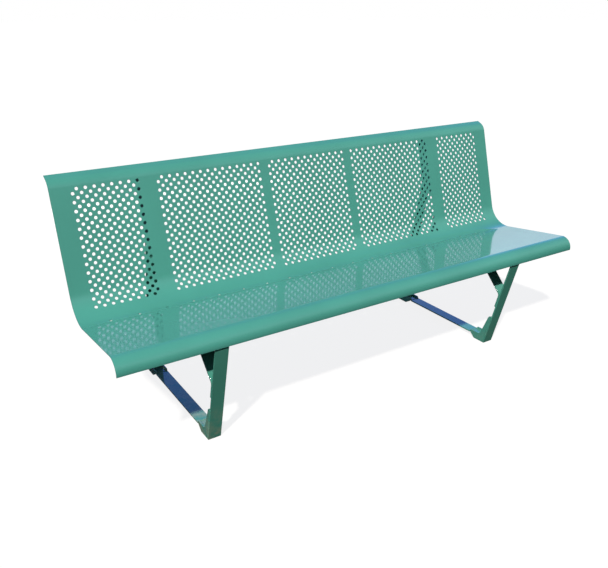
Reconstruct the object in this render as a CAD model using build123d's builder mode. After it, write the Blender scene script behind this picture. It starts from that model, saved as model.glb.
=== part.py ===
from build123d import *
import math
import os

# A long park bench: one perforated sheet-steel seat-and-back panel on two flat-bar frames.
# Millimetres, +Z up, +X along the bench and +Y to the rear. The origin is on the ground, at the middle
# of the bench's plan. Side profiles are drawn as (depth, height) points: depth is measured to the rear
# from the front foot's toe, and side_plane() moves it to the origin. Angles are degrees above the
# rearward horizontal.

# ---------------------------------------------------------------- driving dimensions: the sheet
bench_length = 2000
sheet_thickness = 3
seat_tilt = 7
back_recline = 15.4
crease = (328.4, 398.2)             # where the flat seat and the flat back would meet, mid-sheet
seat_run = 390.4                    # crease to the front lip
back_rise = 447.2                   # crease to the top roll
bend_radius = 106
lip_radius = 43
lip_turn = 106
roll_radius = 45
roll_turn = 50.6
roll_flat = 20.4

# ---------------------------------------------------------------- driving dimensions: the holes
hole_depth = 6                      # cut square to the sheet, through its bends too
hole_diameter = 12
hole_pitch = 15
hole_rows = 28
first_row_drop = 8.8                # first row below the start of the top roll, along the sheet
end_margin = 75
panel_columns = [16, 28, 24, 28, 16]
panel_gaps = [75, 47.5, 47.5, 75]
panel_first_hole = [1, 1, 1, 0, 0]  # column that holds the top row's first hole
drain_diameter = 10
drain_pitch = 100
drain_count = 19

# ---------------------------------------------------------------- driving dimensions: the frames
frame_spacing = 1325
bar_width = 48
bar_thickness = 6
bar_bend_radius = 18                # at the middle of the bar's thickness
foot_span = 582                     # toe of the front foot to heel of the rear foot
front_leg_lean = 14.8
rear_leg_lean = 11.3
rear_leg_top = 676
leg_flange_length = 128             # from the front leg's top corner
brace_angle = 45.3
brace_sight = (14, 328)             # a point on the brace's upper face
brace_lower_end = 190
brace_flange_length = 88
web_thickness = 4                   # folded plate of the seat cradles and back channels
clear_of_sheet = 2000               # how far the space in front of the sheet is drawn past its edges
cradle_depth = 24
cradle_front = 4                    # behind the start of the lip, along the seat
cradle_rear = (368, 492)            # top of the rising web's outer face
cradle_rear_lean = 10.2
cradle_overlap = 48                 # how far its outline is drawn up past the seat before it is cut
cradle_heel_radius = 14
channel_depth = 60
channel_length = 246                # from the start of the top roll, down the back

# ---------------------------------------------------------------- driving dimensions: feet and runner
plate_thickness = 5                 # cheeks and sole of each foot
sole_length = 52.7
nose_reach = 86                     # reaches are measured from the leg's inner face
lobe_reach = 84
lobe_height = 34
ear_root = 139                      # where the top of the cheek's ear meets the leg
ear_reach = 15
ear_height = 133
ear_radius = 9
notch_reach = 30
notch_radius = 18
lobe_radius = 7
nose_radius = 3
sole_radius = 4
runner_top = 25
runner_thickness = 6
runner_gap = 3                      # between the runner's tongue and the leg
clear_of_foot = 50                  # how far the hollow between the cheeks is cut past the foot

# ---------------------------------------------------------------- driving dimensions: fasteners
bolt_diameter = 10
bolt_length = 25
bolt_clearance = 1                  # on the diameter, in the bars and the webs
bolt_hole_depth = 30                # both sides of the meeting face, clear through bar and web
hexagon_flats = 16
head_height = 6.4
nut_height = 8
tip_chamfer = 1
corner_chamfer = 30                 # of the hexagons' corners, to the flat face
corner_circle = 0.95                # where it starts, as a share of the width across flats
washer_diameter = 20
washer_thickness = 2
washer_clearance = 0.5
flange_bolts = [68, 106]            # from the front leg's top corner
brace_bolts = [30, 66]              # from the brace's top corner
channel_bolts = [18, 46]            # from the top of the rear leg


# ---------------------------------------------------------------- geometry of the side view
def along(point, angle, distance):
    """The point a distance from another, in a direction given in degrees."""
    turn = math.radians(angle)
    return (point[0] + distance * math.cos(turn), point[1] + distance * math.sin(turn))


def meet(point_a, angle_a, point_b, angle_b):
    """Where the line through point_a at angle_a crosses the line through point_b at angle_b."""
    turn_a = math.radians(angle_a)
    turn_b = math.radians(angle_b)
    gap_y = point_b[0] - point_a[0]
    gap_z = point_b[1] - point_a[1]
    cross = gap_y * math.sin(turn_b) - gap_z * math.cos(turn_b)
    return along(point_a, angle_a, cross / math.sin(turn_b - turn_a))


def at_height(point, angle, height):
    """The point at a given height on the line through point."""
    return along(point, angle, (height - point[1]) / math.sin(math.radians(angle)))


seat_angle = -seat_tilt
back_angle = 90 - back_recline
front_leg_angle = 90 + front_leg_lean
rear_leg_angle = 90 + rear_leg_lean

bend_turn = back_angle - seat_angle
bend_setback = bend_radius * math.tan(math.radians(bend_turn / 2))
lip_start = along(crease, seat_angle, -seat_run)
bend_front = along(crease, seat_angle, -bend_setback)
bend_back = along(crease, back_angle, bend_setback)
bend_centre = along(bend_front, seat_angle + 90, bend_radius)
roll_start = along(crease, back_angle, back_rise)
lip_centre = along(lip_start, seat_angle - 90, lip_radius)
half_sheet = sheet_thickness / 2

depth_middle = (lip_centre[0] - lip_radius - half_sheet + foot_span) / 2


def side_plane(x=0.0):
    """The side view's plane at a place along the bench."""
    return Plane(origin=(x, -depth_middle, 0), x_dir=(0, 1, 0), z_dir=(1, 0, 0))


def station(x, point, angle):
    """A plane at a point of the side view, facing along an angle, with its x axis along the bench."""
    turn = math.radians(angle)
    origin = (x, point[0] - depth_middle, point[1])
    return Plane(origin=origin, x_dir=(1, 0, 0), z_dir=(0, math.cos(turn), math.sin(turn)))


# The bars' centre lines. Under the seat the legs and braces lie against the cradle's web, and behind
# the back the rear legs lie against the channel's web.
half_bar = bar_thickness / 2
web_face = along(crease, seat_angle - 90, half_sheet + cradle_depth)
under_web = along(web_face, seat_angle - 90, half_bar)
front_leg_foot = along((0, 0), front_leg_angle - 90, half_bar)
front_leg_corner = meet(front_leg_foot, front_leg_angle, under_web, seat_angle)
front_leg_end = along(front_leg_corner, seat_angle, leg_flange_length)

channel_face = along(crease, back_angle - 90, half_sheet + channel_depth)
behind_channel = along(channel_face, back_angle - 90, half_bar)
rear_leg_foot = along((foot_span, 0), rear_leg_angle + 90, half_bar)
rear_leg_corner = meet(rear_leg_foot, rear_leg_angle, behind_channel, back_angle)
rear_leg_end = at_height(behind_channel, back_angle, rear_leg_top)

brace_foot = along((0, 0), front_leg_angle - 90, bar_thickness + half_bar)
brace_middle = along(brace_sight, brace_angle - 90, half_bar)
brace_low_corner = meet(brace_foot, front_leg_angle, brace_middle, brace_angle)
brace_high_corner = meet(brace_middle, brace_angle, under_web, seat_angle)
brace_low_end = at_height(brace_foot, front_leg_angle, brace_lower_end)
brace_high_end = along(brace_high_corner, seat_angle, brace_flange_length)


# ---------------------------------------------------------------- the sheet
def row_place(row):
    """The middle of a row of holes on the sheet, and the angle at which the sheet faces there."""
    drop = first_row_drop + row * hole_pitch
    straight = back_rise - bend_setback
    if drop <= straight:
        return along(roll_start, back_angle, -drop), back_angle + 90
    facing = back_angle + 90 - math.degrees((drop - straight) / bend_radius)
    return along(bend_centre, facing, -bend_radius), facing


def row_columns(row):
    """How far along the bench the holes of one row stand."""
    places = []
    start = end_margin - bench_length / 2
    for panel, columns in enumerate(panel_columns):
        first = (panel_first_hole[panel] + row) % 2
        places += [start + column * hole_pitch for column in range(first, columns, 2)]
        if panel < len(panel_gaps):
            start += (columns - 1) * hole_pitch + panel_gaps[panel]
    return places


def perforations():
    """Where the holes of the back stand, square to the sheet."""
    places = []
    for row in range(hole_rows):
        point, facing = row_place(row)
        places += [station(x, point, facing).location for x in row_columns(row)]
    return places


def drains():
    """Where the drain holes stand, along the lowest line of the sheet."""
    low = along(bend_centre, -90, bend_radius)
    first = -drain_pitch * (drain_count - 1) / 2
    return [station(first + hole * drain_pitch, low, 90).location for hole in range(drain_count)]


def make_sheet():
    with BuildPart() as sheet:
        with BuildSketch(side_plane()):
            with BuildLine():
                seat = Line(lip_start, bend_front)
                JernArc(seat @ 1, seat % 1, bend_radius, bend_turn)
                back = Line(bend_back, roll_start)
                roll = JernArc(back @ 1, back % 1, roll_radius, -roll_turn)
                Line(roll @ 1, roll @ 1 + roll_flat * (roll % 1))
                JernArc(seat @ 0, -(seat % 0), lip_radius, lip_turn)
            trace(line_width=sheet_thickness)
        extrude(amount=bench_length / 2, both=True)
        with Locations(*perforations()):
            Cylinder(hole_diameter / 2, hole_depth, mode=Mode.SUBTRACT)
        with Locations(*drains()):
            Cylinder(drain_diameter / 2, hole_depth, mode=Mode.SUBTRACT)
    return sheet


# ---------------------------------------------------------------- the flat bars
def bolt_places(x, corner, distances, angle, facing):
    """Bolt planes on a joint's meeting face, looking from the bolt's head to its nut."""
    places = []
    for distance in distances:
        middle = along(corner, angle, distance)
        places.append(station(x, along(middle, facing, half_bar), facing))
    return places


def flange_stations(x):
    return bolt_places(x, front_leg_corner, flange_bolts, seat_angle, seat_angle + 90)


def brace_stations(x):
    return bolt_places(x, brace_high_corner, brace_bolts, seat_angle, seat_angle + 90)


def channel_stations(x):
    return bolt_places(x, rear_leg_end, channel_bolts, back_angle + 180, back_angle + 90)


def bolt_holes(stations):
    """Cuts clearance holes through whatever part is being made."""
    with Locations(*[place.location for place in stations]):
        Cylinder((bolt_diameter + bolt_clearance) / 2, bolt_hole_depth, mode=Mode.SUBTRACT)


def bent_bar(x, points, stations):
    """A flat bar bent along a line of points, cut off level with the ground."""
    with BuildPart() as bar:
        with BuildSketch(side_plane(x)):
            with BuildLine():
                FilletPolyline(*points, radius=bar_bend_radius)
            trace(line_width=bar_thickness)
        extrude(amount=bar_width / 2, both=True)
        bolt_holes(stations)
        split(bisect_by=Plane.XY, keep=Keep.TOP)
    return bar


def make_front_leg(x):
    start = along(front_leg_foot, front_leg_angle, -bar_thickness)
    return bent_bar(x, [start, front_leg_corner, front_leg_end], flange_stations(x))


def make_rear_leg(x):
    start = along(rear_leg_foot, rear_leg_angle, -bar_thickness)
    return bent_bar(x, [start, rear_leg_corner, rear_leg_end], channel_stations(x))


def make_brace(x):
    points = [brace_low_end, brace_low_corner, brace_high_corner, brace_high_end]
    return bent_bar(x, points, brace_stations(x))


# ---------------------------------------------------------------- the folded supports
def sitting_side(x):
    """The space in front of the panel, up to the panel's rear face, in the side view."""
    seat_front = along(along(lip_start, seat_angle, -clear_of_sheet), seat_angle - 90, half_sheet)
    seat_rear = along(bend_front, seat_angle - 90, half_sheet)
    back_top = along(along(roll_start, back_angle, clear_of_sheet), back_angle - 90, half_sheet)
    with BuildSketch(side_plane(x)) as space:
        with BuildLine():
            seat = Line(seat_front, seat_rear)
            bend = JernArc(seat @ 1, seat % 1, bend_radius + half_sheet, bend_turn)
            Line(bend @ 1, back_top)
            Polyline(back_top, (seat_front[0], back_top[1]), seat_front)
        make_face()
    return space.sketch


def cradle_outline(x, inset, overrun):
    """The cradle's side view, or the hollow inside its web, which overruns both open ends."""
    rear_angle = 90 + cradle_rear_lean
    start = along(web_face, seat_angle, cradle_front - seat_run - overrun)
    front = along(start, seat_angle + 90, inset)
    rear = along(cradle_rear, rear_angle + 90, inset)
    top = at_height(rear, rear_angle, cradle_rear[1] + overrun)
    heel = meet(front, seat_angle, rear, rear_angle)
    above_front = along(front, seat_angle + 90, cradle_overlap)
    with BuildSketch(side_plane(x)) as outline:
        with BuildLine():
            FilletPolyline(front, heel, top, radius=cradle_heel_radius - inset)
            Polyline(top, (crease[0], top[1]), above_front, front)
        make_face()
    return outline.sketch


def make_cradle(x):
    """A channel under the seat whose cheeks are cut to the panel and which turns up behind its bend."""
    outside = cradle_outline(x, 0, 0)
    hollow = cradle_outline(x, web_thickness, cradle_depth)
    with BuildPart() as cradle:
        extrude(outside, amount=bar_width / 2, both=True)
        extrude(hollow, amount=bar_width / 2 - web_thickness, both=True, mode=Mode.SUBTRACT)
        extrude(sitting_side(x), amount=bar_width, both=True, mode=Mode.SUBTRACT)
        bolt_holes(flange_stations(x) + brace_stations(x))
    return cradle


def make_channel(x):
    inner_width = bar_width - 2 * web_thickness
    low_end = along(roll_start, back_angle, -channel_length)
    middle = half_sheet + channel_depth / 2
    with BuildPart() as channel:
        with BuildSketch(station(x, low_end, back_angle)):
            with Locations((0, middle)):
                Rectangle(bar_width, channel_depth)
            with Locations((0, middle - web_thickness)):
                Rectangle(inner_width, channel_depth, mode=Mode.SUBTRACT)
        extrude(amount=channel_length)
        bolt_holes(channel_stations(x))
    return channel


# ---------------------------------------------------------------- feet and runner
front_inner = along((0, 0), front_leg_angle - 90, bar_thickness)
rear_inner = along((foot_span, 0), rear_leg_angle + 90, bar_thickness)


def foot_point(rearwards, reach, height):
    """The point a reach from a leg's inner face, towards the other foot, at a height."""
    if rearwards:
        return (at_height(front_inner, front_leg_angle, height)[0] + reach, height)
    return (at_height(rear_inner, rear_leg_angle, height)[0] - reach, height)


def make_foot(x, rearwards):
    """Two cheeks beside the runner's end, joined by a sole that rises to the runner's underside."""
    root = foot_point(rearwards, 0, ear_root)
    ear = foot_point(rearwards, ear_reach, ear_height)
    notch = foot_point(rearwards, notch_reach, lobe_height)
    lobe = foot_point(rearwards, lobe_reach, lobe_height)
    nose = foot_point(rearwards, nose_reach, runner_top)
    sole = foot_point(rearwards, sole_length, 0)
    toe = foot_point(rearwards, 0, 0)
    radii = [ear_radius, notch_radius, lobe_radius, nose_radius, sole_radius]

    runner_bottom = runner_top - runner_thickness
    rise_angle = math.degrees(math.atan2(nose[1] - sole[1], nose[0] - sole[0]))
    inside = along(sole, rise_angle + (90 if rearwards else -90), plate_thickness)
    floor_end = at_height(inside, rise_angle, plate_thickness)
    rise_end = at_height(inside, rise_angle, runner_bottom)
    beyond = foot_point(rearwards, nose_reach + clear_of_foot, 0)[0]
    before = foot_point(rearwards, -clear_of_foot, 0)[0]
    above = ear_root + clear_of_foot
    hollow = [(before, plate_thickness), floor_end, rise_end, (beyond, runner_bottom)]
    hollow += [(beyond, above), (before, above)]

    with BuildPart() as foot:
        with BuildSketch(side_plane(x)):
            with BuildLine():
                FilletPolyline(root, ear, notch, lobe, nose, sole, toe, radius=radii)
                Line(toe, root)
            make_face()
        extrude(amount=bar_width / 2, both=True)
        with BuildSketch(side_plane(x)):
            with BuildLine():
                Polyline(*hollow, close=True)
            make_face()
        extrude(amount=bar_width / 2 - plate_thickness, both=True, mode=Mode.SUBTRACT)
    return foot


def make_runner(x):
    """A flat bar between the feet, with a narrower tongue at each end that reaches between the cheeks."""
    front = foot_point(True, nose_reach, runner_top)[0]
    rear = foot_point(False, nose_reach, runner_top)[0]
    tongue_front = foot_point(True, runner_gap, runner_top)[0]
    tongue_rear = foot_point(False, runner_gap, runner_top)[0]
    plan = Plane((x, -depth_middle, runner_top - runner_thickness))
    with BuildPart() as runner:
        with BuildSketch(plan):
            with Locations((0, (front + rear) / 2)):
                Rectangle(bar_width, rear - front)
            with Locations((0, (tongue_front + tongue_rear) / 2)):
                Rectangle(bar_width - 2 * plate_thickness, tongue_rear - tongue_front)
        extrude(amount=runner_thickness)
    return runner


# ---------------------------------------------------------------- fasteners, one group for each frame
def bolt_stations(x):
    return flange_stations(x) + brace_stations(x) + channel_stations(x)


def hexagon_block(height, hole_diameter=0.0):
    """A hexagon prism that stands on the XY plane, with the corners of its top face chamfered."""
    top_radius = corner_circle * hexagon_flats / 2
    foot_radius = top_radius + height / math.tan(math.radians(corner_chamfer))
    with BuildPart() as block:
        with BuildSketch():
            RegularPolygon(hexagon_flats / 2, 6, major_radius=False)
            if hole_diameter:
                Circle(hole_diameter / 2, mode=Mode.SUBTRACT)
        extrude(amount=height)
        standing = (Align.CENTER, Align.CENTER, Align.MIN)
        Cone(foot_radius, top_radius, height, align=standing, mode=Mode.INTERSECT)
    return block.part


def make_bolts(x):
    head = hexagon_block(head_height)
    under_head = [place.offset(-bar_thickness - washer_thickness) for place in bolt_stations(x)]
    with BuildPart() as bolts:
        with Locations(*[Plane(place.origin, place.x_dir, -place.z_dir).location for place in under_head]):
            add(head)
        for place in under_head:
            with BuildSketch(place):
                Circle(bolt_diameter / 2)
            shank = extrude(amount=bolt_length)
            tip = shank.edges().sort_by(Axis(place.origin, place.z_dir))[-1]
            chamfer(tip, tip_chamfer)
    return bolts


def make_nuts(x):
    nut = hexagon_block(nut_height, bolt_diameter)
    with BuildPart() as nuts:
        with Locations(*[place.offset(web_thickness).location for place in bolt_stations(x)]):
            add(nut)
    return nuts


def make_washers(x):
    with BuildPart() as washers:
        for place in bolt_stations(x):
            with BuildSketch(place.offset(-bar_thickness - washer_thickness)):
                Circle(washer_diameter / 2)
                Circle((bolt_diameter + washer_clearance) / 2, mode=Mode.SUBTRACT)
            extrude(amount=washer_thickness)
    return washers


# ---------------------------------------------------------------- the whole bench
def save(piece, name):
    piece.part.label = name
    export_step(piece.part, f"parts/{name}.step")


os.makedirs("parts", exist_ok=True)
save(make_sheet(), "seat_back_sheet")
for side, x in (("left", -frame_spacing / 2), ("right", frame_spacing / 2)):
    save(make_front_leg(x), f"{side}_front_leg")
    save(make_rear_leg(x), f"{side}_rear_leg")
    save(make_brace(x), f"{side}_diagonal_brace")
    save(make_runner(x), f"{side}_runner")
    save(make_foot(x, True), f"{side}_front_foot")
    save(make_foot(x, False), f"{side}_rear_foot")
    save(make_cradle(x), f"{side}_seat_cradle")
    save(make_channel(x), f"{side}_back_channel")
    save(make_bolts(x), f"{side}_frame_bolts")
    save(make_nuts(x), f"{side}_frame_nuts")
    save(make_washers(x), f"{side}_frame_washers")
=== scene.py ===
import math

import bpy
import numpy as np
from mathutils import Matrix, Vector


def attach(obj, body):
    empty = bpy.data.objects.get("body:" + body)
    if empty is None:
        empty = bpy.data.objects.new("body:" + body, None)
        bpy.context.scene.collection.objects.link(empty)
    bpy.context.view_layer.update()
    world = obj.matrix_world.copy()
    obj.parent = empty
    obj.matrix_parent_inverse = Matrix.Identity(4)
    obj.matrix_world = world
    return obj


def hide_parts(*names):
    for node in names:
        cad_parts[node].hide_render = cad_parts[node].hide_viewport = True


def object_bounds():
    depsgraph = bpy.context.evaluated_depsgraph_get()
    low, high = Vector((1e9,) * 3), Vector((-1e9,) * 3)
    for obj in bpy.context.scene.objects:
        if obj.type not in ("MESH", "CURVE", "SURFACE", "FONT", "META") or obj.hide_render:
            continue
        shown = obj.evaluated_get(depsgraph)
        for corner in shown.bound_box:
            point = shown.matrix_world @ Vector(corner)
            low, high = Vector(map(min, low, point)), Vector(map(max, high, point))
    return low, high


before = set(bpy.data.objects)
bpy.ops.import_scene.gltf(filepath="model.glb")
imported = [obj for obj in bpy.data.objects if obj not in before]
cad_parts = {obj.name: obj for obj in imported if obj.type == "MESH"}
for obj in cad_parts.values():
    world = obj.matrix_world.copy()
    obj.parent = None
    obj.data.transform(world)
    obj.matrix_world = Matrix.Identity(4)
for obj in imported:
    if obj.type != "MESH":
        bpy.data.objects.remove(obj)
cad_low, cad_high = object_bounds()

# ---------------------------------------------------------------- driving dimensions, in metres
# The sheet's side profile, as in the CAD model: depth is measured to the rear from the front foot's toe.
BENCH_LENGTH = 2.0
SHEET_THICKNESS = 0.003
SEAT_TILT = 7
BACK_RECLINE = 15.4
CREASE = (0.3284, 0.3982)
SEAT_RUN = 0.3904
BACK_RISE = 0.4472
BEND_RADIUS = 0.106
LIP_RADIUS = 0.043
LIP_TURN = 106
ROLL_RADIUS = 0.045
ROLL_TURN = 50.6
ROLL_FLAT = 0.0204
FOOT_SPAN = 0.582

HOLE_RADIUS = 0.006
HOLE_PITCH = 0.015
HOLE_ROWS = 28
FIRST_ROW_DROP = 0.0088
END_MARGIN = 0.075
PANEL_COLUMNS = [16, 28, 24, 28, 16]
PANEL_GAPS = [0.075, 0.0475, 0.0475, 0.075]
PANEL_FIRST_HOLE = [1, 1, 1, 0, 0]
DRAIN_RADIUS = 0.005
DRAIN_PITCH = 0.1
DRAIN_COUNT = 19

EDGE_ROUNDING = 0.0004
NEARLY = 1e-7
MICRONS = 1e6
HOLE_POINTS = 16
ARC_STEP = 4.0
PLAIN_STEP = 0.06
# A drain's cell is this many times as wide as the drain.
DRAIN_CELL = 1.6

# The frames, whose own pieces come from the CAD model.
FRAME_X = 0.6625
BAR_WIDTH = 0.048
BAR_THICKNESS = 0.006
FRONT_LEG_LEAN = 14.8
REAR_LEG_LEAN = 11.3
FOOT_HEIGHT = 0.139
SOLE_THICKNESS = 0.005
NOSE_REACH = 0.086
RUNNER_TOP = 0.025
BRACE_END = 0.190
CHANNEL_LENGTH = 0.246
BAR_ROUNDING = 0.0008
SAME_POINT = 0.000002
SAME_FLAT = 0.5
SHARP_EDGE = 35

# Welds: beads laid in short runs.
BEAD_RADIUS = 0.002
RIPPLE = 0.0022
RIPPLE_DEPTH = 0.14
RINGS_PER_RIPPLE = 3
TIP_SHARE = 0.02
BEAD_SIDES = 8
STITCH_LENGTH = 0.03
STITCH_PITCH = 0.07

# Paint, dust and wear, and the frames' green darkened as painted shade.
SHEET_GREEN = (0.054, 0.247, 0.202)
# Darker than the sheet's green. The bench has one green, and the frames' darker tone is painted shade for the
# frames under the seat.
SHADED_FRAME_GREEN = (0.053, 0.222, 0.168)
DUST_COLOUR = (0.26, 0.27, 0.19)
DUST_HEIGHT = 0.16
DUST_COVER = 0.6
# The right frame has this share of the left frame's dust.
CLEAN_END = 0.2
WEAR_WIDTH = 0.0015
WORN_STEEL = (0.16, 0.13, 0.11)
TONE_RANGE = (0.93, 1.06)
ROUGHNESS_RANGE = (0.10, 0.18)
ORANGE_PEEL = 0.000003
COAT_ROUGHNESS = 0.08
# How fine each noise is, in repeats per metre.
TONE_DRIFT = 3.0
GLOSS_DRIFT = 14.0
PEEL_GRAIN = 300.0
DUST_PATCHES = 28.0
CHIP_GRAIN = 160.0
ZINC_MOTTLE = 250.0
ZINC_GLOSS = 120.0
ZINC_DARK = (0.42, 0.43, 0.44)
ZINC_LIGHT = (0.62, 0.63, 0.64)


# ---------------------------------------------------------------- camera
# Where it stands, in metres, and how far it is turned: to the right, down, and over to one side.
CAMERA_PLACE = (-1.4548, -2.0706, 1.3940)
CAMERA_HEADING = 32.42
CAMERA_DIP = 21.90
CAMERA_ROLL = -0.235
LENS = 40.29
SENSOR_WIDTH = 36
CAMERA_SHIFT = (-0.00173, -0.01316)
FARTHEST_SEEN = 200


def make_camera():
    """Just under eye height, from the front and the left, as in the reference view."""
    data = bpy.data.cameras.new("camera")
    data.lens = LENS
    data.sensor_width = SENSOR_WIDTH
    data.shift_x, data.shift_y = CAMERA_SHIFT
    data.clip_end = FARTHEST_SEEN
    camera = bpy.data.objects.new("camera", data)
    turn = Matrix.Rotation(math.radians(-CAMERA_HEADING), 4, "Z")
    turn = turn @ Matrix.Rotation(math.radians(90 - CAMERA_DIP), 4, "X")
    turn = turn @ Matrix.Rotation(math.radians(CAMERA_ROLL), 4, "Z")
    camera.matrix_world = Matrix.Translation(CAMERA_PLACE) @ turn
    bpy.context.scene.collection.objects.link(camera)
    bpy.context.scene.camera = camera


# ---------------------------------------------------------------- light and floor
KEY_STRENGTH = 5.85
KEY_COLOUR = (1.0, 0.96, 0.90)
KEY_TOWARDS = (-0.50, -0.49, 0.72)
KEY_SPREAD = 2.5
FILL_POWER = 30
FILL_SIZE = (3.0, 0.5)
FILL_PLACE = (0, 3.0, 0.25)
FILL_AIM = (0, 0, 0.5)
# The dome's colour at the sines of some elevations, on the bench's front and rear sides.
GROUND = (0.01, 0.01, 0.01)
ZENITH = (0.02, 0.03, 0.06)
FRONT_SKY = [
    (0.03, (0.01, 0.01, 0.01)),
    (0.25, (0.15, 0.15, 0.15)),
    (0.50, (0.35, 0.42, 0.50)),
]
REAR_SKY = [
    (0.03, (0.30, 0.25, 0.30)),
    (0.17, (0.84, 1.02, 1.25)),
    (0.29, (0.55, 0.72, 1.15)),
    (0.42, (0.15, 0.34, 1.10)),
    (0.65, (0.04, 0.10, 0.36)),
]
# The two sides blend over this much of the sky, as the Y of its direction either side of 0.
SKY_BLEND = 0.3


def sky_ramp(tree, height, stops):
    """The dome's colour over the sine of its elevation, from straight down to straight up."""
    ramp = tree.nodes.new("ShaderNodeValToRGB")
    scale = tree.nodes.new("ShaderNodeMapRange")
    scale.inputs["From Min"].default_value = -1
    tree.links.new(height, scale.inputs["Value"])
    tree.links.new(scale.outputs["Result"], ramp.inputs["Fac"])
    places = [(-1.0, GROUND), (0.0, GROUND)] + stops + [(1.0, ZENITH)]
    ramp.color_ramp.elements[0].position = 0
    ramp.color_ramp.elements[1].position = 1
    for place, _ in places[1:-1]:
        ramp.color_ramp.elements.new((place + 1) / 2)
    for element, (_, colour) in zip(ramp.color_ramp.elements, places):
        element.color = (*colour, 1)
    return ramp.outputs["Color"]


def make_light():
    """A key from the front left, a dome that is dim in front and bright low behind the bench, and a low fill
    for the bench's rear side, which passes under the seat."""
    data = bpy.data.lights.new("key", "SUN")
    data.energy = KEY_STRENGTH
    data.angle = math.radians(KEY_SPREAD)
    data.color = KEY_COLOUR
    key = bpy.data.objects.new("key", data)
    key.rotation_euler = Vector(KEY_TOWARDS).to_track_quat("Z", "Y").to_euler()
    bpy.context.scene.collection.objects.link(key)

    lamp = bpy.data.lights.new("fill", "AREA")
    lamp.shape = "RECTANGLE"
    lamp.size, lamp.size_y = FILL_SIZE
    lamp.energy = FILL_POWER
    fill = bpy.data.objects.new("fill", lamp)
    fill.location = FILL_PLACE
    aim = Vector(FILL_PLACE) - Vector(FILL_AIM)
    fill.rotation_euler = aim.to_track_quat("Z", "Y").to_euler()
    fill.visible_camera = False
    fill.visible_glossy = False
    bpy.context.scene.collection.objects.link(fill)

    world = bpy.data.worlds.new("dome")
    bpy.context.scene.world = world
    world.use_nodes = True
    tree = world.node_tree
    tree.nodes.clear()
    coords = tree.nodes.new("ShaderNodeTexCoord")
    split = tree.nodes.new("ShaderNodeSeparateXYZ")
    tree.links.new(coords.outputs["Generated"], split.inputs[0])
    front = sky_ramp(tree, split.outputs["Z"], FRONT_SKY)
    rear = sky_ramp(tree, split.outputs["Z"], REAR_SKY)
    side = spread(tree, split.outputs["Y"], 0, 1, -SKY_BLEND, SKY_BLEND)
    background = tree.nodes.new("ShaderNodeBackground")
    output = tree.nodes.new("ShaderNodeOutputWorld")
    tree.links.new(blend_colour(tree, side, front, rear), background.inputs["Color"])
    tree.links.new(background.outputs[0], output.inputs["Surface"])


# The stage: its floor is partly lit, to take a shadow, and partly glows, to stay pale.
STAGE_RADIUS = 60.0
STAGE_SIDES = 64
FLOOR_TONE = (0.12, 0.115, 0.11)
FLOOR_GLOW = 0.85


def glowing_white(name, albedo, glow):
    material, tree, shader = blank_material(name)
    shader.inputs["Base Color"].default_value = (*albedo, 1)
    shader.inputs["Roughness"].default_value = 1.0
    shader.inputs["Specular IOR Level"].default_value = 0.0
    shader.inputs["Emission Color"].default_value = (1, 1, 1, 1)
    shader.inputs["Emission Strength"].default_value = glow
    return material


def make_stage():
    """A wide pale floor that takes faint shadows, and a white wall far off, past which the floor would end.
    Neither throws light on the bench."""
    sides = STAGE_SIDES
    turns = [2 * math.pi * i / sides for i in range(sides)]
    ring = [(STAGE_RADIUS * math.cos(turn), STAGE_RADIUS * math.sin(turn)) for turn in turns]
    low = [(x, y, 0) for x, y in ring]
    high = [(x, y, STAGE_RADIUS) for x, y in ring]
    wall = [(i, (i + 1) % sides, (i + 1) % sides + sides, i + sides) for i in range(sides)]
    floor_white = glowing_white("floor", FLOOR_TONE, FLOOR_GLOW)
    wall_white = glowing_white("wall", (0, 0, 0), 1.0)
    for name, points, faces, material in [
        ("floor", low, [tuple(range(sides))], floor_white),
        ("wall", low + high, wall, wall_white),
    ]:
        mesh = bpy.data.meshes.new(name)
        mesh.from_pydata(points, [], faces)
        mesh.materials.append(material)
        stage = bpy.data.objects.new(name, mesh)
        bpy.context.scene.collection.objects.link(stage)
        stage.visible_diffuse = False
        stage.visible_glossy = False
        stage.visible_shadow = name == "floor"


# ---------------------------------------------------------------- materials
def blank_material(name):
    material = bpy.data.materials.new(name)
    material.use_nodes = True
    tree = material.node_tree
    shader = tree.nodes["Principled BSDF"]
    return material, tree, shader


def noise(tree, scale, detail=3.0, roughness=0.5):
    """A noise texture in the bench's own metres."""
    coords = tree.nodes.new("ShaderNodeTexCoord")
    texture = tree.nodes.new("ShaderNodeTexNoise")
    texture.inputs["Scale"].default_value = scale
    texture.inputs["Detail"].default_value = detail
    texture.inputs["Roughness"].default_value = roughness
    tree.links.new(coords.outputs["Object"], texture.inputs["Vector"])
    return texture.outputs["Fac"]


def spread(tree, value, low, high, from_low=0.3, from_high=0.7):
    """A value stretched from one range to another. The first range is the one that noise mostly keeps to."""
    node = tree.nodes.new("ShaderNodeMapRange")
    node.inputs["From Min"].default_value = from_low
    node.inputs["From Max"].default_value = from_high
    node.inputs["To Min"].default_value = low
    node.inputs["To Max"].default_value = high
    tree.links.new(value, node.inputs["Value"])
    return node.outputs["Result"]


def blend_colour(tree, factor, first, second):
    """first where factor is 0 and second where it is 1; each is a colour or a socket."""
    node = tree.nodes.new("ShaderNodeMix")
    node.data_type = "RGBA"
    tree.links.new(factor, node.inputs["Factor"])
    for name, value in (("A", first), ("B", second)):
        socket = next(s for s in node.inputs if s.name == name and s.type == "RGBA")
        if isinstance(value, tuple):
            socket.default_value = (*value, 1)
        else:
            tree.links.new(value, socket)
    return next(s for s in node.outputs if s.type == "RGBA")


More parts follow.
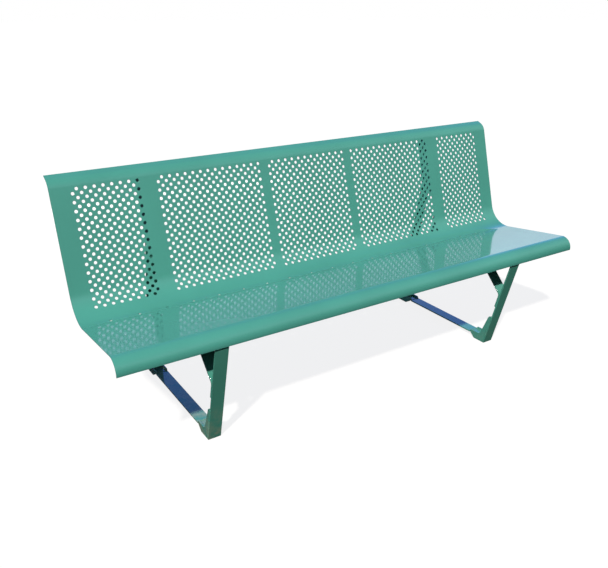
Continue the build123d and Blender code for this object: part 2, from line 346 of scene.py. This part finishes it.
def make_paint(name, colour):
    """Gloss green powder coat: slow drifts in tone, a faint orange peel, and uneven gloss."""
    material, tree, shader = blank_material(name)
    darker, lighter = (tuple(c * share for c in colour) for share in TONE_RANGE)
    tone = blend_colour(tree, spread(tree, noise(tree, TONE_DRIFT), 0, 1), darker, lighter)
    tree.links.new(tone, shader.inputs["Base Color"])
    tree.links.new(spread(tree, noise(tree, GLOSS_DRIFT), *ROUGHNESS_RANGE), shader.inputs["Roughness"])
    bump = tree.nodes.new("ShaderNodeBump")
    bump.inputs["Distance"].default_value = ORANGE_PEEL
    tree.links.new(noise(tree, PEEL_GRAIN, 2.0), bump.inputs["Height"])
    tree.links.new(bump.outputs["Normal"], shader.inputs["Normal"])
    shader.inputs["Coat Weight"].default_value = 1.0
    shader.inputs["Coat Roughness"].default_value = COAT_ROUGHNESS
    return material, tree, shader, tone


def make_frame_paint(colour):
    """The same coat on the frames in a darker green, which is painted shade, with the dust of the ground on
    the feet and paint worn off their edges.
    """
    material, tree, shader, tone = make_paint("frame_paint", colour)
    coords = tree.nodes.new("ShaderNodeTexCoord")
    split = tree.nodes.new("ShaderNodeSeparateXYZ")
    tree.links.new(coords.outputs["Object"], split.inputs[0])
    low_down = spread(tree, split.outputs["Z"], 1, 0, 0.0, DUST_HEIGHT)
    dusty_end = spread(tree, split.outputs["X"], 1, CLEAN_END, -FRAME_X, FRAME_X)
    patches = spread(tree, noise(tree, DUST_PATCHES, 4.0, 0.6), 0, DUST_COVER, 0.38, 0.62)
    dust = multiply(tree, multiply(tree, low_down, patches), dusty_end)
    dusty = blend_colour(tree, dust, tone, DUST_COLOUR)

    rounded = tree.nodes.new("ShaderNodeBevel")
    rounded.inputs["Radius"].default_value = WEAR_WIDTH
    plain = tree.nodes.new("ShaderNodeNewGeometry")
    match = tree.nodes.new("ShaderNodeVectorMath")
    match.operation = "DOT_PRODUCT"
    tree.links.new(rounded.outputs[0], match.inputs[0])
    tree.links.new(plain.outputs["Normal"], match.inputs[1])
    edges = spread(tree, match.outputs["Value"], 1, 0, 0.75, 0.95)
    chips = multiply(tree, edges, spread(tree, noise(tree, CHIP_GRAIN, 4.0, 0.6), 0, 1, 0.56, 0.62))
    worn = multiply(tree, chips, low_down)
    tree.links.new(blend_colour(tree, worn, dusty, WORN_STEEL), shader.inputs["Base Color"])
    return material


def multiply(tree, first, second):
    node = tree.nodes.new("ShaderNodeMath")
    node.operation = "MULTIPLY"
    tree.links.new(first, node.inputs[0])
    tree.links.new(second, node.inputs[1])
    return node.outputs[0]


def make_zinc():
    """Dull zinc plate, mottled and unevenly bright."""
    material, tree, shader = blank_material("zinc")
    tone = blend_colour(tree, spread(tree, noise(tree, ZINC_MOTTLE), 0, 1), ZINC_DARK, ZINC_LIGHT)
    tree.links.new(tone, shader.inputs["Base Color"])
    tree.links.new(spread(tree, noise(tree, ZINC_GLOSS), 0.3, 0.5), shader.inputs["Roughness"])
    shader.inputs["Metallic"].default_value = 1.0
    return material


# ---------------------------------------------------------------- the sheet's side profile
def along(point, angle, distance):
    turn = math.radians(angle)
    return (point[0] + distance * math.cos(turn), point[1] + distance * math.sin(turn))


def profile_stretches():
    """The stretches of the sheet's middle line from the lip's edge to the roll's edge. Each is its start,
    its heading in degrees, its length, and its curvature, positive to the left."""
    seat_angle, back_angle = -SEAT_TILT, 90 - BACK_RECLINE
    setback = BEND_RADIUS * math.tan(math.radians(back_angle - seat_angle) / 2)
    lip_start = along(CREASE, seat_angle, -SEAT_RUN)
    lip_centre = along(lip_start, seat_angle - 90, LIP_RADIUS)
    lip_angle = seat_angle + LIP_TURN
    place = along(lip_centre, lip_angle + 90, LIP_RADIUS)
    parts = [
        (LIP_RADIUS * math.radians(LIP_TURN), -1 / LIP_RADIUS),
        (SEAT_RUN - setback, 0.0),
        (BEND_RADIUS * math.radians(back_angle - seat_angle), 1 / BEND_RADIUS),
        (BACK_RISE - setback, 0.0),
        (ROLL_RADIUS * math.radians(ROLL_TURN), -1 / ROLL_RADIUS),
        (ROLL_FLAT, 0.0),
    ]
    stretches, heading = [], lip_angle
    for length, curvature in parts:
        stretches.append((place, heading, length, curvature))
        place, heading = follow(place, heading, length, curvature)
    return stretches


def follow(place, heading, distance, curvature):
    """Where a line of steady curvature leads, and its heading there."""
    if curvature == 0:
        return along(place, heading, distance), heading
    centre = along(place, heading + 90, 1 / curvature)
    heading += math.degrees(distance * curvature)
    return along(centre, heading - 90, 1 / curvature), heading


STRETCHES = profile_stretches()
STARTS = np.concatenate([[0.0], np.cumsum([s[2] for s in STRETCHES])])
# The depth at which the frame's origin lies: the rear legs' heels are the CAD model's rearmost points.
DEPTH_MIDDLE = FOOT_SPAN - cad_high.y


def on_profile(distance):
    """(depth, height, heading) of the sheet's middle line, a distance along it from the lip's edge."""
    index = min(max(int(np.searchsorted(STARTS, distance, side="right")) - 1, 0), len(STRETCHES) - 1)
    place, heading, _, curvature = STRETCHES[index]
    (depth, height), heading = follow(place, heading, distance - STARTS[index], curvature)
    return depth - DEPTH_MIDDLE, height, heading


# ---------------------------------------------------------------- the sheet's mesh
class SheetMesh:
    """Faces of the sheet in its own flat coordinates: x along the bench, s along the profile, and h, the
    height over the middle line, positive on the side that people sit on. The faces of the underside are
    kept apart, because their normals point the other way."""

    def __init__(self):
        self.points = []
        self.facing = []
        self.known = {}
        self.faces = []
        self.under = []

    def vertex(self, x, s, h, facing=None):
        """The number of the point there, which is made if it is new. Points within a micron are one."""
        key = (round(x * MICRONS), round(s * MICRONS), round(h * MICRONS))
        if key not in self.known:
            self.known[key] = len(self.points)
            self.points.append((x, s, h))
            self.facing.append(facing or (0.0, 0.0, math.copysign(1.0, h)))
        return self.known[key]

    def zip_rows(self, low, high, closed=False):
        """Fills between two rows of (parameter, front vertex, back vertex), with faces on both sides."""
        i = j = 0
        while i < len(low) - 1 or j < len(high) - 1:
            next_low = low[i + 1][0] if i < len(low) - 1 else math.inf
            next_high = high[j + 1][0] if j < len(high) - 1 else math.inf
            step_low = next_low <= next_high + 1e-9
            step_high = next_high <= next_low + 1e-9
            corners = [low[i]]
            if step_low:
                i += 1
                corners.append(low[i])
            if step_high:
                corners += [high[j + 1], high[j]]
                j += 1
            else:
                corners.append(high[j])
            self.faces.append([c[1] for c in corners])
            self.under.append([c[2] for c in reversed(corners)])


def row_of(sheet, s, places):
    """A row of points at s, one at each x, as zip_rows takes them."""
    half = SHEET_THICKNESS / 2
    return [(x, sheet.vertex(x, s, half), sheet.vertex(x, s, -half)) for x in places]


def hole_cell(sheet, x, s, radius, corners):
    """A round hole with a rounded front rim, joined to the points of the cell's outline."""
    half, round_off = SHEET_THICKNESS / 2, EDGE_ROUNDING
    ring_top, ring_back, walls = [], [], []
    for point in range(HOLE_POINTS):
        angle = 2 * math.pi * (point + 0.5) / HOLE_POINTS
        across, up = math.cos(angle), math.sin(angle)
        outer, inner = radius + round_off, radius
        top = sheet.vertex(x + outer * across, s + outer * up, half)
        lip = sheet.vertex(x + inner * across, s + inner * up, half - round_off, (-across, -up, 0.0))
        back = sheet.vertex(x + inner * across, s + inner * up, -half, (-across, -up, 0.0))
        ring_top.append((angle, top))
        ring_back.append(back)
        walls.append((top, lip, back))
    for here, there in zip(walls, walls[1:] + walls[:1]):
        sheet.faces.append([here[0], there[0], there[1], here[1]])
        sheet.faces.append([here[1], there[1], there[2], here[2]])
    inner_row = [(angle, top, back) for (angle, top), back in zip(ring_top, ring_back)]
    turn = 2 * math.pi
    outline = []
    for corner in corners:
        angle = math.atan2(corner[1] - s, corner[0] - x) % turn
        outline.append((angle, sheet.vertex(*corner, half), sheet.vertex(*corner, -half)))
    outline.sort()
    inner_row.append((inner_row[0][0] + turn, *inner_row[0][1:]))
    outline.append((outline[0][0] + turn, *outline[0][1:]))
    sheet.zip_rows(outline, inner_row)


def cell_lines():
    """For each panel, the x of its cells' edges."""
    start = END_MARGIN - BENCH_LENGTH / 2 - HOLE_PITCH / 2
    lines = []
    for panel, columns in enumerate(PANEL_COLUMNS):
        lines.append([start + column * HOLE_PITCH for column in range(columns + 1)])
        if panel < len(PANEL_GAPS):
            start += (columns - 1) * HOLE_PITCH + PANEL_GAPS[panel]
    return lines


def steps(low, high, size):
    """Evenly spaced places from low to high, no further apart than size, both ends included."""
    count = max(1, math.ceil((high - low) / size - 1e-6))
    return [low + (high - low) * i / count for i in range(count + 1)]


def arc_step(radius):
    """How far apart rows lie on a bend of this radius."""
    return radius * math.radians(ARC_STEP)


def add_plain_rows(sheet, places, first, between, last):
    """Rows without holes. The first and the last have their own points, to match their neighbours."""
    lines = []
    for index, s in enumerate(places):
        across = between
        if index == 0:
            across = first
        elif index == len(places) - 1:
            across = last
        lines.append(row_of(sheet, s, across))
    for low, high in zip(lines, lines[1:]):
        sheet.zip_rows(low, high)


def add_drains(sheet, line, half_cell, across):
    """The row of drain holes. Every second stretch of the row is a hole's cell."""
    low, high = line - half_cell, line + half_cell
    low_row = row_of(sheet, low, across)
    high_row = row_of(sheet, high, across)
    for index in range(len(across) - 1):
        if index % 2 == 0:
            sheet.zip_rows(low_row[index:index + 2], high_row[index:index + 2])
            continue
        left, right = across[index], across[index + 1]
        corners = [(left, low), (right, low), (right, high), (left, high)]
        hole_cell(sheet, (left + right) / 2, line, DRAIN_RADIUS, corners)


def add_perforated_row(sheet, row, middle, panels, fine):
    """One row of the back's cells, where every second cell of a panel has a hole."""
    heights = [middle - HOLE_PITCH / 2, middle + HOLE_PITCH / 2]
    if heights[0] < STARTS[3]:
        heights.insert(1, middle)
    edges = [row_of(sheet, s, fine) for s in heights]

    def fill(first):
        for low_edge, high_edge in zip(edges, edges[1:]):
            sheet.zip_rows(low_edge[first:first + 2], high_edge[first:first + 2])

    column = 0
    for panel, lines in enumerate(panels):
        fill(column)
        for cell in range(len(lines) - 1):
            index = column + 1 + cell
            if (cell + row) % 2 == PANEL_FIRST_HOLE[panel]:
                left, right = fine[index], fine[index + 1]
                corners = [(x, s) for x in (left, right) for s in heights]
                hole_cell(sheet, (left + right) / 2, middle, HOLE_RADIUS, corners)
            else:
                fill(index)
        column += len(lines)
    fill(column)


def add_rim(sheet, edge, total, coarse):
    """The rounded rim all round the sheet."""
    half, inset = SHEET_THICKNESS / 2, EDGE_ROUNDING

    def at(value, place):
        return abs(value - place) < NEARLY

    side_heights = sorted({round(s * MICRONS) for x, s, _ in sheet.points if at(abs(x), edge)})
    ladder = [s / MICRONS for s in side_heights]
    loop = [(x, inset) for x in coarse] + [(edge, s) for s in ladder[1:]]
    loop += [(x, total - inset) for x in reversed(coarse[:-1])] + [(-edge, s) for s in reversed(ladder[1:-1])]
    rings = []
    for x, s in loop:
        out_x = math.copysign(1.0, x) if at(abs(x), edge) else 0.0
        out_s = float(at(s, total - inset)) - float(at(s, inset))
        size = math.hypot(out_x, out_s)
        facing = (out_x / size, out_s / size, 0.0)
        rim = (x + inset * out_x, s + inset * out_s)
        rings.append([
            sheet.vertex(x, s, half),
            sheet.vertex(*rim, half - inset, facing),
            sheet.vertex(*rim, inset - half, facing),
            sheet.vertex(x, s, -half),
        ])
    for here, there in zip(rings, rings[1:] + rings[:1]):
        for layer in range(3):
            sheet.faces.append([here[layer], here[layer + 1], there[layer + 1], there[layer]])


def build_sheet():
    """The whole sheet, flat, from the lip's edge to the roll's edge. Rows by the perforations have points at
    every cell's edge, and plain rows only at the panels' ends."""
    sheet = SheetMesh()
    edge = BENCH_LENGTH / 2 - EDGE_ROUNDING
    total = STARTS[-1]
    panels = cell_lines()
    fine = [-edge] + [x for panel in panels for x in panel] + [edge]
    coarse = [-edge] + [x for panel in panels for x in (panel[0], panel[-1])] + [edge]

    drain_line = STARTS[2] + BEND_RADIUS * math.radians(SEAT_TILT)
    half_cell = DRAIN_CELL * DRAIN_RADIUS
    drains = [(i - (DRAIN_COUNT - 1) / 2) * DRAIN_PITCH for i in range(DRAIN_COUNT)]
    drain_edges = [-edge] + [x + side * half_cell for x in drains for side in (-1, 1)] + [edge]
    roll_start = STARTS[4]
    rows = [roll_start - FIRST_ROW_DROP - row * HOLE_PITCH for row in range(HOLE_ROWS)]
    holes_top = rows[0] + HOLE_PITCH / 2
    holes_bottom = rows[-1] - HOLE_PITCH / 2

    below = steps(EDGE_ROUNDING, STARTS[1], arc_step(LIP_RADIUS))
    below += steps(STARTS[1], STARTS[2], PLAIN_STEP)[1:]
    below += steps(STARTS[2], drain_line - half_cell, arc_step(BEND_RADIUS))[1:]
    add_plain_rows(sheet, below, coarse, coarse, drain_edges)
    add_drains(sheet, drain_line, half_cell, drain_edges)
    between = steps(drain_line + half_cell, holes_bottom, arc_step(BEND_RADIUS))
    add_plain_rows(sheet, between, drain_edges, coarse, fine)
    for row in reversed(range(HOLE_ROWS)):
        add_perforated_row(sheet, row, rows[row], panels, fine)
    above = steps(holes_top, roll_start, HOLE_PITCH)
    above += steps(roll_start, STARTS[5], arc_step(ROLL_RADIUS))[1:]
    above += [total - EDGE_ROUNDING]
    add_plain_rows(sheet, above, fine, coarse, coarse)
    add_rim(sheet, edge, total, coarse)
    return sheet


def make_sheet(material):
    """The sheet's faces, bent from flat to the side profile, as the piece that stands for the CAD sheet."""
    sheet = build_sheet()
    places = {}

    def frame_at(s):
        if s not in places:
            depth, height, heading = on_profile(s)
            turn = math.radians(heading)
            tangent = (0.0, math.cos(turn), math.sin(turn))
            normal = (0.0, -math.sin(turn), math.cos(turn))
            places[s] = ((0.0, depth, height), tangent, normal)
        return places[s]

    points = np.array(sheet.points)
    facing = np.array(sheet.facing)
    frames = [frame_at(s) for s in points[:, 1]]
    origins, tangents, normals = (np.array([f[i] for f in frames]) for i in range(3))
    world = origins + normals * points[:, 2:3]
    world[:, 0] = points[:, 0]
    turned = normals * facing[:, 2:3] + tangents * facing[:, 1:2]
    turned[:, 0] += facing[:, 0]

    faces = sheet.faces + sheet.under
    mesh = bpy.data.meshes.new("seat_and_back")
    mesh.from_pydata(world.tolist(), [], faces)
    corner_normals = []
    for face in sheet.faces:
        corner_normals += [turned[v] for v in face]
    for face in sheet.under:
        corner_normals += [-normals[v] for v in face]
    mesh.polygons.foreach_set("use_smooth", [True] * len(mesh.polygons))
    mesh.normals_split_custom_set(corner_normals)
    mesh.materials.append(material)
    piece = bpy.data.objects.new("seat_and_back", mesh)
    bpy.context.scene.collection.objects.link(piece)
    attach(piece, "root")
    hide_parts("seat_back_sheet")


# ---------------------------------------------------------------- welds and rounded edges
def bead(points, faces, start, end):
    """A weld bead along a straight seam: a rippled round bar, half sunk in the steel, with closed tips."""
    run = end - start
    length = run.length
    forward = run.normalized()
    across = forward.orthogonal().normalized()
    up = forward.cross(across)
    stations = steps(0, length, RIPPLE / RINGS_PER_RIPPLE)
    first = len(points)
    for distance in stations:
        ripple = 1 - RIPPLE_DEPTH + RIPPLE_DEPTH * abs(math.cos(math.pi * distance / RIPPLE))
        to_tip = min(distance, length - distance, BEAD_RADIUS) / BEAD_RADIUS
        taper = math.sqrt(max(1 - (1 - to_tip) ** 2, TIP_SHARE))
        size = BEAD_RADIUS * ripple * taper
        for side in range(BEAD_SIDES):
            turn = 2 * math.pi * side / BEAD_SIDES
            outward = across * math.cos(turn) + up * math.sin(turn)
            points.append(start + forward * distance + outward * size)
    for ring in range(len(stations) - 1):
        for side in range(BEAD_SIDES):
            beside = (side + 1) % BEAD_SIDES
            low = first + ring * BEAD_SIDES
            high = low + BEAD_SIDES
            faces.append((low + side, low + beside, high + beside, high + side))
    faces.append(tuple(first + side for side in reversed(range(BEAD_SIDES))))
    faces.append(tuple(len(points) - BEAD_SIDES + side for side in range(BEAD_SIDES)))


def at_height(point, angle, height):
    """Where the line through a point at an angle reaches a height."""
    return along(point, angle, (height - point[1]) / math.sin(math.radians(angle)))


def seams(x):
    """The seams of one frame, as pairs of end points, each whole or in stitches."""
    seat_angle, back_angle = -SEAT_TILT, 90 - BACK_RECLINE
    half = SHEET_THICKNESS / 2
    sides = (x - BAR_WIDTH / 2, x + BAR_WIDTH / 2)

    def place(across, point):
        return Vector((across, point[0] - DEPTH_MIDDLE, point[1]))

    front_inner = along((0, 0), FRONT_LEG_LEAN, BAR_THICKNESS)
    rear_inner = along((FOOT_SPAN, 0), 180 + REAR_LEG_LEAN, BAR_THICKNESS)
    for inner, lean, towards in ((front_inner, FRONT_LEG_LEAN, 1), (rear_inner, REAR_LEG_LEAN, -1)):
        low = at_height(inner, 90 + lean, SOLE_THICKNESS)
        high = at_height(inner, 90 + lean, FOOT_HEIGHT - BEAD_RADIUS)
        nose = at_height(inner, 90 + lean, RUNNER_TOP)
        nose = (nose[0] + towards * NOSE_REACH, RUNNER_TOP)
        for side in sides:
            yield place(side, low), place(side, high)
        yield place(sides[0], nose), place(sides[1], nose)
    brace_end = at_height(front_inner, 90 + FRONT_LEG_LEAN, BRACE_END)
    yield place(sides[0], brace_end), place(sides[1], brace_end)

    under_seat = along(CREASE, seat_angle - 90, half)
    behind_back = along(CREASE, back_angle - 90, half)
    setback = BEND_RADIUS * math.tan(math.radians(back_angle - seat_angle) / 2)
    stitched = [
        (under_seat, seat_angle, -SEAT_RUN + STITCH_LENGTH, -setback),
        (behind_back, back_angle, BACK_RISE - CHANNEL_LENGTH, BACK_RISE - STITCH_LENGTH),
    ]
    for line, angle, first, last in stitched:
        for distance in steps(first, last - STITCH_LENGTH, STITCH_PITCH):
            for side in sides:
                start = along(line, angle, distance)
                yield place(side, start), place(side, along(start, angle, STITCH_LENGTH))


def make_welds(name, x, material):
    """All the weld beads of the frame at x."""
    points, faces = [], []
    for start, end in seams(x):
        bead(points, faces, start, end)
    mesh = bpy.data.meshes.new(name)
    mesh.from_pydata(points, [], faces)
    mesh.polygons.foreach_set("use_smooth", [True] * len(mesh.polygons))
    mesh.materials.append(material)
    piece = bpy.data.objects.new(name, mesh)
    bpy.context.scene.collection.objects.link(piece)
    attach(piece, "root")


def round_edges(node):
    """Takes the sharpness off a bar's or plate's edges, after joining its facets into whole faces."""
    mesh = node.data
    if "custom_normal" in mesh.attributes:
        mesh.attributes.remove(mesh.attributes["custom_normal"])
    mesh.polygons.foreach_set("use_smooth", [True] * len(mesh.polygons))
    join = node.modifiers.new("join", "WELD")
    join.merge_threshold = SAME_POINT
    flats = node.modifiers.new("flats", "DECIMATE")
    flats.decimate_type = "DISSOLVE"
    flats.angle_limit = math.radians(SAME_FLAT)
    edges = node.modifiers.new("edges", "BEVEL")
    edges.width = BAR_ROUNDING
    edges.segments = 2
    edges.limit_method = "ANGLE"
    edges.angle_limit = math.radians(SHARP_EDGE)
    edges.harden_normals = True


# ---------------------------------------------------------------- the whole scene
make_camera()
make_light()
make_stage()
sheet_paint = make_paint("sheet_paint", SHEET_GREEN)[0]
# The frames take the darker green, which is painted shade.
frame_paint = make_frame_paint(SHADED_FRAME_GREEN)
zinc = make_zinc()
make_sheet(sheet_paint)
for name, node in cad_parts.items():
    if name == "seat_back_sheet":
        continue
    node.data.materials.clear()
    if any(word in name for word in ("bolts", "nuts", "washers")):
        node.data.materials.append(zinc)
    else:
        node.data.materials.append(frame_paint)
        round_edges(node)
for name, x in (("left_weld_beads", -FRAME_X), ("right_weld_beads", FRAME_X)):
    make_welds(name, x, frame_paint)

bpy.context.scene.view_settings.view_transform = "Standard"
